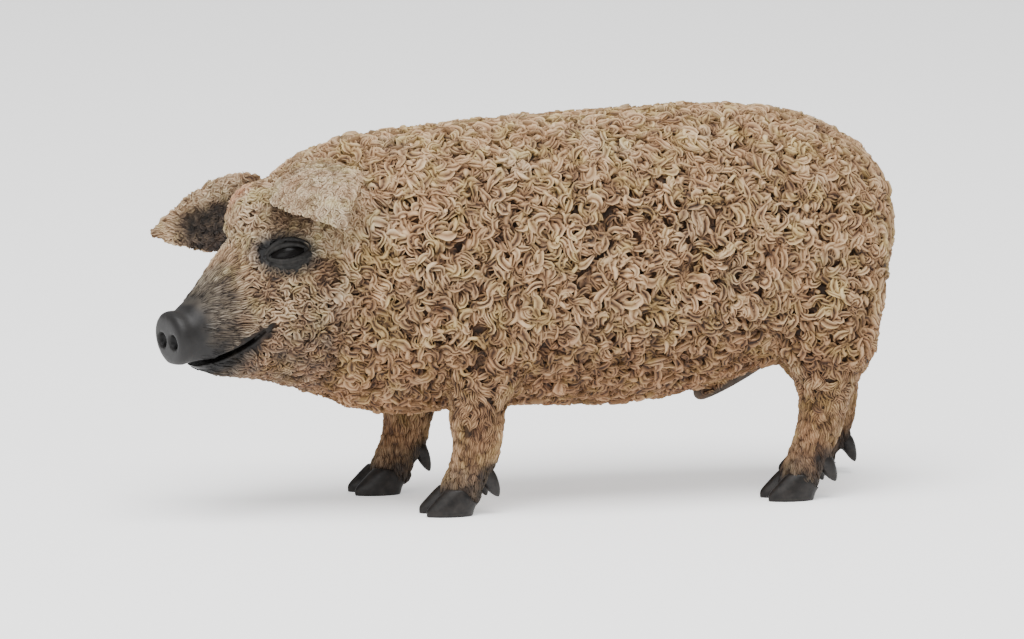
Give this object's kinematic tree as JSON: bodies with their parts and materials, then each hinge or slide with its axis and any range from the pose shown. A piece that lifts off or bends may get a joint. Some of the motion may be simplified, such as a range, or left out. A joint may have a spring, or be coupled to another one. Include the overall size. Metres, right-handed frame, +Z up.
{
  "type": "mangalica pig toy figure",
  "caption": "Moulded and painted toy figure of a standing curly-coated mangalica pig, head turned to its left, on four cloven feet.",
  "frame": {"origin": "middle of the whole figure's box, on the surface that the soles stand on", "axes": "+X towards the rump, so the pig faces -X; +Y towards the pig's right side; +Z up"},
  "size_m": [0.1208, 0.0418, 0.0612],
  "materials": {
    "coat": "matt tan paint dry-brushed over a dark brown wash",
    "snout": "smooth satin charcoal paint",
    "hoof": "satin near-black paint",
    "eye": "gloss black paint"
  },
  "bodies": {
    "root": {"head": "coat", "lower_jaw": "coat", "snout_disc": "snout", "neck": "coat", "shoulders": "coat", "barrel": "coat", "hindquarters": "coat", "tail": "coat", "ear_left": "coat", "ear_right": "coat", "eye_left": "eye", "eye_right": "eye", "foreleg_left": "coat", "foreleg_right": "coat", "hindleg_left": "coat", "hindleg_right": "coat", "foreleg_left_claw_outer": "hoof", "foreleg_left_claw_inner": "hoof", "foreleg_left_dewclaw_outer": "hoof", "foreleg_left_dewclaw_inner": "hoof", "foreleg_right_claw_outer": "hoof", "foreleg_right_claw_inner": "hoof", "foreleg_right_dewclaw_outer": "hoof", "foreleg_right_dewclaw_inner": "hoof", "hindleg_left_claw_outer": "hoof", "hindleg_left_claw_inner": "hoof", "hindleg_left_dewclaw_outer": "hoof", "hindleg_left_dewclaw_inner": "hoof", "hindleg_right_claw_outer": "hoof", "hindleg_right_claw_inner": "hoof", "hindleg_right_dewclaw_outer": "hoof", "hindleg_right_dewclaw_inner": "hoof"}
  },
  "joints": []
}
